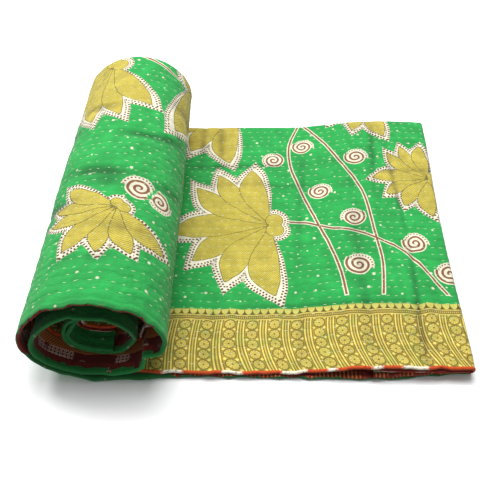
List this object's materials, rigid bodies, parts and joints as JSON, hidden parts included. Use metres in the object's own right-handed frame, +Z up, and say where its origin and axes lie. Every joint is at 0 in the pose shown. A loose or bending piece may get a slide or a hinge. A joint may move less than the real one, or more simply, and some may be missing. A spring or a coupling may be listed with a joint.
{
  "type": "kantha quilt",
  "caption": "Thin stitched sari quilt, folded in half, tucked in at its right end and rolled up at its left end, green with a gold border.",
  "frame": {"origin": "middle of the quilt's outline on the surface it lies on", "axes": "+X from the roll along the flat part, +Y from the open near edges to the fold, +Z up"},
  "size_m": [0.5512, 0.515, 0.1455],
  "materials": {
    "front_cotton": "matte",
    "back_cotton": "matte"
  },
  "bodies": {
    "root": {"front_cloth": "front_cotton", "back_cloth": "back_cotton"}
  },
  "joints": []
}
